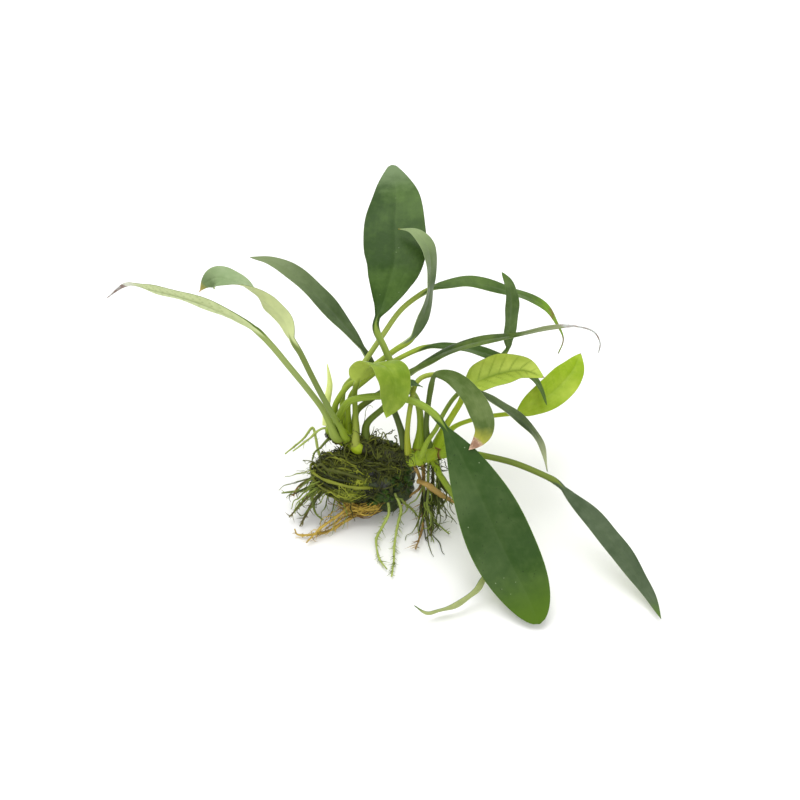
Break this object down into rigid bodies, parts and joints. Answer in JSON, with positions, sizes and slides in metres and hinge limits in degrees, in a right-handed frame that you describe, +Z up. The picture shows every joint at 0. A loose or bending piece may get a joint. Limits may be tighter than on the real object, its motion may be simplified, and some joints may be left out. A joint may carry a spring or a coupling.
{
  "type": "anubias on stone",
  "caption": "Narrow-leaved anubias grown onto a small dark stone, with arching leaves on long stalks and wiry roots that wrap the stone.",
  "frame": {"origin": "middle of the stone's flat underside, on the surface that it rests on", "axes": "+X to the right of the plant along its longest spread, +Y to its back, +Z up"},
  "size_m": [0.2678, 0.1954, 0.1223],
  "materials": {
    "stone": "rough dark stone with patches of moss",
    "root_tangle": "felted old roots",
    "rhizome": "firm green plant stem",
    "leaf_dark": "leathery leaf with a satin sheen",
    "leaf_young": "soft yellow-green young leaf",
    "root_green": "dull green root",
    "root_golden": "dull golden brown root",
    "root_brown": "dull dark brown root"
  },
  "bodies": {
    "root": {"stone": "stone", "root_mat": "root_tangle", "rhizome": "rhizome", "young_shoot": "leaf_young", "leaf_far_left": "leaf_dark", "leaf_left_twisted": "leaf_dark", "leaf_upper_left": "leaf_dark", "leaf_top_broad": "leaf_dark", "leaf_hooked": "leaf_dark", "leaf_long_arch": "leaf_dark", "leaf_small_upright": "leaf_dark", "leaf_long_right": "leaf_dark", "leaf_thin_right": "leaf_dark", "leaf_yellow_upper": "leaf_young", "leaf_yellow_right": "leaf_young", "leaf_folded_lime": "leaf_young", "leaf_brown_tipped": "leaf_dark", "leaf_big_front": "leaf_dark", "leaf_front_right_narrow": "leaf_dark", "leaf_far_right": "leaf_dark", "leaf_low_front": "leaf_dark", "leaf_small_hidden": "leaf_dark", "root_front_left": "root_green", "root_front_right": "root_green", "root_golden_long": "root_golden", "root_golden_short": "root_golden", "root_left_loop": "root_green", "root_left_dark_long": "root_brown", "root_left_dark_short": "root_brown", "root_left_level": "root_green", "root_left_brown": "root_brown", "root_aerial_back": "root_green", "root_aerial_arch": "root_green", "root_aerial_bright": "root_green", "root_right_brown": "root_brown", "root_right_golden": "root_golden", "root_cluster_brown": "root_brown", "root_cluster_dark": "root_brown", "root_cluster_green": "root_green", "root_cluster_side": "root_green", "root_loop": "root_green"}
  },
  "joints": []
}
